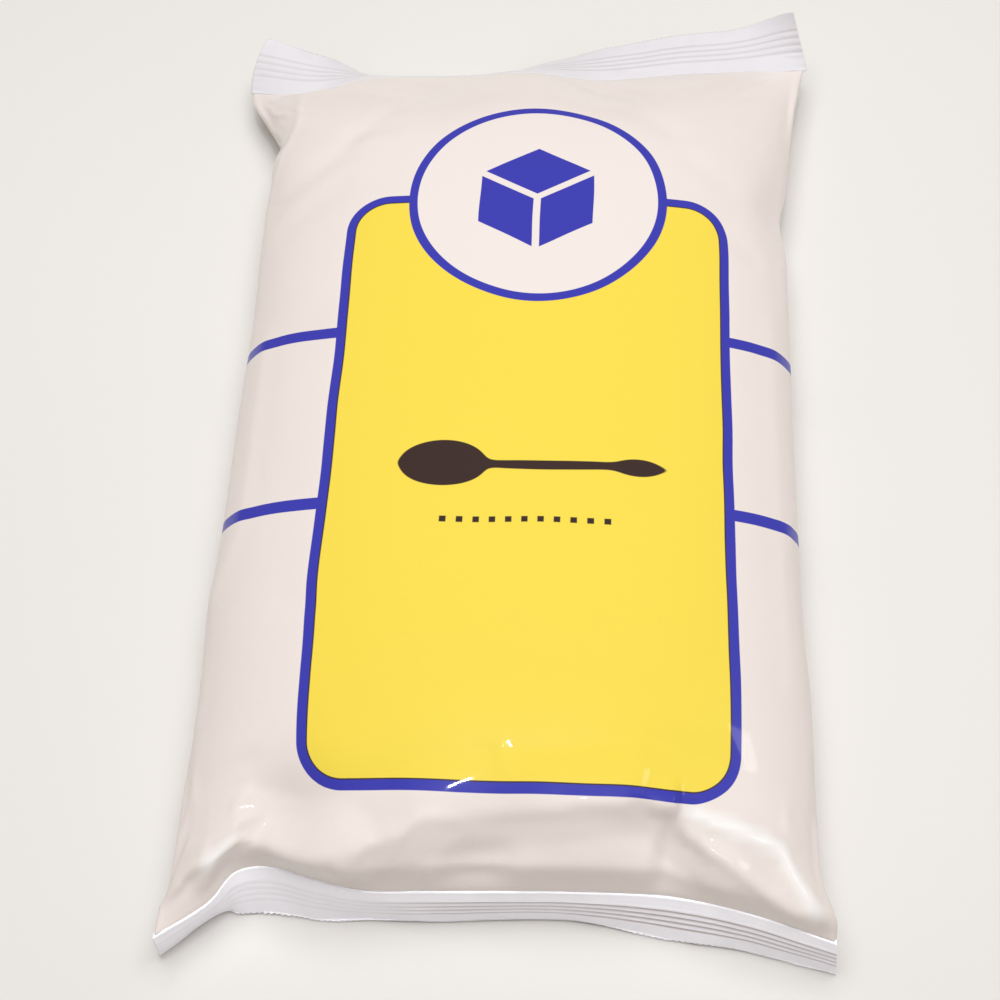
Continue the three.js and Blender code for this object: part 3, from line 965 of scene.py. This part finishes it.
def rib_tree(material):
    """Nodes that press the ribs into a seal, let it flutter, cut the teeth of its edge, and mark the
    grooves where shade is painted.
    """
    tree = bpy.data.node_groups.new("seal_ribs", "GeometryNodeTree")
    tree.is_modifier = True
    tree.interface.new_socket("Geometry", in_out="INPUT", socket_type="NodeSocketGeometry")
    sizes = (
        "Rib Pitch", "Rib Height", "Rib Start", "Rib Count", "Tooth Pitch", "Tooth Depth", "Flutter",
    )
    for name in sizes:
        tree.interface.new_socket(name, in_out="INPUT", socket_type="NodeSocketFloat")
    tree.interface.new_socket("Geometry", in_out="OUTPUT", socket_type="NodeSocketGeometry")
    given = tree.nodes.new("NodeGroupInput").outputs
    from_root, along_seal, at_cut, pressed = (
        add_node(tree, "GeometryNodeInputNamedAttribute", {"data_type": "FLOAT"}, {"Name": name})
        for name in ("from_root", "along_seal", "at_cut", "pressed")
    )
    outward = add_node(
        tree, "GeometryNodeInputNamedAttribute", {"data_type": "FLOAT_VECTOR"}, {"Name": "outward"}
    )
    normal = add_node(tree, "GeometryNodeInputNormal")

    turns = add_node(
        tree, "ShaderNodeMath", {"operation": "SUBTRACT"}, {0: from_root, 1: given["Rib Start"]}
    )
    turns = add_node(tree, "ShaderNodeMath", {"operation": "DIVIDE"}, {0: turns, 1: given["Rib Pitch"]})
    begun = add_node(tree, "ShaderNodeMath", {"operation": "GREATER_THAN"}, {0: turns, 1: 0.0})
    going = add_node(
        tree, "ShaderNodeMath", {"operation": "LESS_THAN"}, {0: turns, 1: given["Rib Count"]}
    )
    band = add_node(tree, "ShaderNodeMath", {"operation": "MULTIPLY"}, {0: begun, 1: going})
    angle = add_node(tree, "ShaderNodeMath", {"operation": "MULTIPLY"}, {0: turns, 1: 2 * math.pi})
    wave = add_node(tree, "ShaderNodeMath", {"operation": "SINE"}, {0: angle})
    wave = add_node(tree, "ShaderNodeMath", {"operation": "MULTIPLY"}, {0: wave, 1: band})
    wave = add_node(tree, "ShaderNodeMath", {"operation": "MULTIPLY"}, {0: wave, 1: pressed})
    half_rib = add_node(
        tree, "ShaderNodeMath", {"operation": "DIVIDE"}, {0: given["Rib Height"], 1: 2.0}
    )
    rib = add_node(tree, "ShaderNodeMath", {"operation": "MULTIPLY"}, {0: wave, 1: half_rib})

    noise = add_node(
        tree, "ShaderNodeTexNoise", None, {"Scale": 1 / (FLUTTER_SIZE * MM), "Detail": 1.0}
    )
    noise = add_node(tree, "ShaderNodeMath", {"operation": "SUBTRACT"}, {0: noise, 1: 0.5})
    noise = add_node(tree, "ShaderNodeMath", {"operation": "MULTIPLY"}, {0: noise, 1: given["Flutter"]})
    loose = add_node(tree, "ShaderNodeMath", {"operation": "MULTIPLY"}, {0: noise, 1: at_cut})
    lift = add_node(tree, "ShaderNodeMath", {"operation": "ADD"}, {0: rib, 1: loose})
    raised = add_node(
        tree, "ShaderNodeVectorMath", {"operation": "SCALE"}, {"Vector": normal, "Scale": lift}
    )

    half_tooth = add_node(
        tree, "ShaderNodeMath", {"operation": "DIVIDE"}, {0: given["Tooth Pitch"], 1: 2.0}
    )
    saw = add_node(tree, "ShaderNodeMath", {"operation": "PINGPONG"}, {0: along_seal, 1: half_tooth})
    saw = add_node(tree, "ShaderNodeMath", {"operation": "DIVIDE"}, {0: saw, 1: half_tooth})
    edge = add_node(tree, "ShaderNodeMath", {"operation": "GREATER_THAN"}, {0: at_cut, 1: CUT_ROW})
    notch = add_node(tree, "ShaderNodeMath", {"operation": "MULTIPLY"}, {0: saw, 1: edge})
    notch = add_node(
        tree, "ShaderNodeMath", {"operation": "MULTIPLY"}, {0: notch, 1: given["Tooth Depth"]}
    )
    notch = add_node(tree, "ShaderNodeMath", {"operation": "MULTIPLY"}, {0: notch, 1: -1.0})
    cut = add_node(
        tree, "ShaderNodeVectorMath", {"operation": "SCALE"}, {"Vector": outward, "Scale": notch}
    )

    offset = add_node(tree, "ShaderNodeVectorMath", {"operation": "ADD"}, {0: raised, 1: cut})
    moved = add_node(
        tree, "GeometryNodeSetPosition", None, {"Geometry": given["Geometry"], "Offset": offset}
    )
    # How deep each groove lies, for the shade painted into it
    deep = add_node(tree, "ShaderNodeMath", {"operation": "MULTIPLY"}, {0: wave, 1: -1.0})
    deep = add_node(tree, "ShaderNodeMath", {"operation": "MAXIMUM"}, {0: deep, 1: 0.0})
    deep = add_node(tree, "ShaderNodeMath", {"operation": "POWER"}, {0: deep, 1: GROOVE_SHADE_SHARPNESS})
    groove_shaded = add_node(
        tree, "GeometryNodeStoreNamedAttribute", {"data_type": "FLOAT", "domain": "POINT"},
        {"Geometry": moved, "Name": "painted_groove_shade", "Value": deep},
    )
    real = add_node(tree, "GeometryNodeRealizeInstances", None, {"Geometry": groove_shaded})
    dressed = add_node(tree, "GeometryNodeSetMaterial", None, {"Geometry": real, "Material": material})
    add_node(tree, "NodeGroupOutput", None, {"Geometry": dressed})
    return tree


# Operators


class SUGARBAG_OT_film(bpy.types.Operator):
    """Make the filled film and its print."""

    bl_idname = "sugar_bag.make_film"
    bl_label = "Make Film"

    def execute(self, context):
        shape = context.scene.sugar_bag_shape
        points, length, fold_highlight = film_tube(shape)
        rows, columns = points.shape[:2]
        index = np.arange(rows * columns).reshape(rows, columns)
        mirrored = np.concatenate([index[:, :HALF_COLUMNS + 1], index[:, HALF_COLUMNS - 1:0:-1]], axis=1)
        index[[0, -1]] = mirrored[[0, -1]]
        following = np.roll(index, -1, axis=1)
        quads = np.stack([index[:-1], following[:-1], following[1:], index[1:]], axis=-1).reshape(-1, 4)

        u = np.arange(columns + 1) * shape.flat_width / HALF_COLUMNS - shape.flat_width / 2
        v = np.concatenate([length, length[:, :1]], axis=1) * MM
        flat = np.stack([np.broadcast_to(u, v.shape), v], axis=-1)
        corners = np.stack([flat[:-1, :-1], flat[:-1, 1:], flat[1:, 1:], flat[1:, :-1]], axis=2)
        used, quads = np.unique(quads, return_inverse=True)
        points = to_part(points.reshape(-1, 3)[used])
        piece = new_piece("film_bag", points, quads.reshape(-1, 4).tolist())
        piece.data.uv_layers.new(name="film").data.foreach_set("uv", corners.ravel())
        # The painted highlight on the sharpest folds, which the film's material reads
        painted_highlight = piece.data.attributes.new("painted_highlight", "FLOAT", "POINT")
        painted_highlight.data.foreach_set("value", fold_highlight.ravel()[used])
        piece.data.materials.append(printed_film(context.scene.sugar_bag_print))
        smooth = piece.modifiers.new("Smooth Film", "SUBSURF")
        smooth.levels = smooth.render_levels = 1
        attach(piece, BODY)
        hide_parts(NODE)
        return {"FINISHED"}


class SUGARBAG_OT_seals(bpy.types.Operator):
    """Make the ribbed seals at both ends."""

    bl_idname = "sugar_bag.make_seals"
    bl_label = "Make Seals"

    def execute(self, context):
        seal = context.scene.sugar_bag_seal
        material = sealed_film(context.scene.sugar_bag_print)
        tree = rib_tree(material)
        self.make_seal("near_seal", NEAR_SEAL, NEAR_PRESS, -1, seal, tree)
        self.make_seal("far_seal", FAR_SEAL, FAR_PRESS, 1, seal, tree)
        return {"FINISHED"}

    def make_seal(self, name, stations, press, outward, seal, tree):
        """Make one seal. Outward is 1 where it runs to the far end, and -1 for the near end."""
        curve = smooth_curve(stations)
        width = np.linalg.norm(np.diff(curve[:, :3], axis=0), axis=1).sum()
        columns = TOOTH_STEPS * round(width * MM / seal.tooth_pitch)
        across = np.linspace(-1, 1, columns + 1)
        length = seal.length / MM
        distances = np.concatenate([np.arange(-SEAL_TUCK, length - SEAL_LAST_ROW, SEAL_ROW), [length]])
        grid = seal_points(across, distances, stations, outward)
        rows = len(distances)
        index = np.arange(rows * (columns + 1)).reshape(rows, columns + 1)
        quads = np.stack([index[:-1, :-1], index[:-1, 1:], index[1:, 1:], index[1:, :-1]], axis=-1)
        quads = quads.reshape(-1, 4)
        if outward < 0:
            quads = quads[:, ::-1]
        piece = new_piece(name, to_part(grid), [tuple(q) for q in quads.tolist()])
        lay = np.gradient(grid, axis=0)
        lay /= np.linalg.norm(lay, axis=-1, keepdims=True)
        filled = {
            "from_root": np.repeat(distances * MM, columns + 1),
            "along_seal": np.tile((across + 1) / 2 * columns / TOOTH_STEPS * seal.tooth_pitch, rows),
            "at_cut": np.repeat(np.clip(distances / length, 0, 1), columns + 1),
            "pressed": np.tile(np.interp(grid[0, :, 0], *zip(*press)), rows),
        }
        for key, values in filled.items():
            piece.data.attributes.new(key, "FLOAT", "POINT").data.foreach_set("value", values)
        outwards = piece.data.attributes.new("outward", "FLOAT_VECTOR", "POINT")
        outwards.data.foreach_set("vector", lay.ravel())
        ribs = piece.modifiers.new("Ribs", "NODES")
        ribs.node_group = tree
        sizes = {
            "Rib Pitch": seal.rib_pitch,
            "Rib Height": seal.rib_height,
            "Rib Start": seal.rib_start,
            "Rib Count": float(seal.rib_count),
            "Tooth Pitch": seal.tooth_pitch,
            "Tooth Depth": seal.tooth_depth,
            "Flutter": seal.flutter,
        }
        for socket in tree.interface.items_tree:
            if socket.in_out == "INPUT" and socket.name in sizes:
                ribs[socket.identifier] = sizes[socket.name]
        wall = piece.modifiers.new("Film", "SOLIDIFY")
        wall.thickness = seal.thickness
        wall.offset = 0
        graph = bpy.context.evaluated_depsgraph_get()
        flat = piece.data
        piece.data = bpy.data.meshes.new_from_object(piece.evaluated_get(graph))
        piece.data.name = name
        piece.modifiers.clear()
        bpy.data.meshes.remove(flat)
        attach(piece, BODY)


class SUGARBAG_OT_stage(bpy.types.Operator):
    """Make the floor, the light and the camera."""

    bl_idname = "sugar_bag.make_stage"
    bl_label = "Make Stage"

    def execute(self, context):
        stage = context.scene.sugar_bag_stage
        self.make_floor(stage)
        self.make_camera(context, stage)
        key = self.make_light("key_light", KEY_PLACE, stage.key_power, KEY_SIZE)
        key.visible_glossy = False
        sheen = self.make_light("sheen_light", SHEEN_PLACE, stage.sheen_power, SHEEN_SIZE)
        sheen.visible_diffuse = False
        on_seal = self.make_light("seal_light", SEAL_LIGHT_PLACE, stage.seal_power, SEAL_LIGHT_SIZE)
        on_seal.visible_glossy = False
        lit = bpy.data.collections.new("lit_seals")
        lit.objects.link(bpy.data.objects["near_seal"])
        on_seal.light_linking.receiver_collection = lit
        self.make_light("glint_light", GLINT_PLACE, stage.glint_power, GLINT_SIZE)
        world = bpy.data.worlds.new("soft_sky")
        world.use_nodes = True
        sky = world.node_tree.nodes["Background"]
        sky.inputs["Color"].default_value = srgb(SKY_WARM)
        sky.inputs["Strength"].default_value = stage.sky_strength
        context.scene.world = world
        context.scene.view_settings.view_transform = "Standard"
        return {"FINISHED"}

    def make_floor(self, stage):
        signs = ((-1, -1), (1, -1), (1, 1), (-1, 1))
        corners = [(x * FLOOR_HALF, y * FLOOR_HALF, -FLOOR_DROP) for x, y in signs]
        floor = new_piece("floor", np.array(corners), [(0, 1, 2, 3)])
        floor.data.materials.append(floor_paint(tuple(stage.floor_white)))

    def make_camera(self, context, stage):
        up, turn = stage.elevation, stage.azimuth
        back = Vector((math.sin(turn) * math.cos(up), -math.cos(turn) * math.cos(up), math.sin(up)))
        right = Vector((math.cos(turn), math.sin(turn), 0))
        above = back.cross(right)
        rolled_right = math.cos(stage.roll) * right + math.sin(stage.roll) * above
        rolled_above = math.cos(stage.roll) * above - math.sin(stage.roll) * right
        target = Vector(to_part(np.array(CAMERA_TARGET)))
        camera = bpy.data.objects.new("camera", bpy.data.cameras.new("camera"))
        context.scene.collection.objects.link(camera)
        camera.data.sensor_width = SENSOR_WIDTH
        camera.data.lens = stage.lens
        pose = Matrix((rolled_right, rolled_above, back)).transposed().to_4x4()
        pose.translation = target + stage.distance * back
        camera.matrix_world = pose
        context.scene.camera = camera

    def make_light(self, name, place, power, size):
        light = bpy.data.lights.new(name, "AREA")
        light.energy = power
        light.size = size
        lamp = bpy.data.objects.new(name, light)
        lamp.location = place
        lamp.rotation_euler = (-Vector(place)).to_track_quat("-Z", "Y").to_euler()
        bpy.context.scene.collection.objects.link(lamp)
        return lamp


class SUGARBAG_PT_panel(bpy.types.Panel):
    """Lists the bag's settings and the steps that make it."""

    bl_idname = "SUGARBAG_PT_panel"
    bl_label = "Sugar Bag"
    bl_space_type = "VIEW_3D"
    bl_region_type = "UI"
    bl_category = "Sugar Bag"

    def draw(self, context):
        for key in SETTINGS:
            box = self.layout.box()
            group = getattr(context.scene, key)
            for name in group.__annotations__:
                box.prop(group, name)
        for operator in OPERATORS:
            self.layout.operator(operator.bl_idname)


SETTINGS = {
    "sugar_bag_shape": BagShape,
    "sugar_bag_seal": SealShape,
    "sugar_bag_print": FilmPrint,
    "sugar_bag_stage": StageSettings,
}
OPERATORS = (SUGARBAG_OT_film, SUGARBAG_OT_seals, SUGARBAG_OT_stage)


def register():
    for cls in (*SETTINGS.values(), *OPERATORS, SUGARBAG_PT_panel):
        bpy.utils.register_class(cls)
    for key, group in SETTINGS.items():
        setattr(bpy.types.Scene, key, PointerProperty(type=group))


def unregister():
    for key in SETTINGS:
        delattr(bpy.types.Scene, key)
    for cls in (SUGARBAG_PT_panel, *reversed(OPERATORS), *reversed(SETTINGS.values())):
        bpy.utils.unregister_class(cls)


def main():
    register()
    bpy.ops.sugar_bag.make_film()
    bpy.ops.sugar_bag.make_seals()
    bpy.ops.sugar_bag.make_stage()


if __name__ == "__main__":
    main()
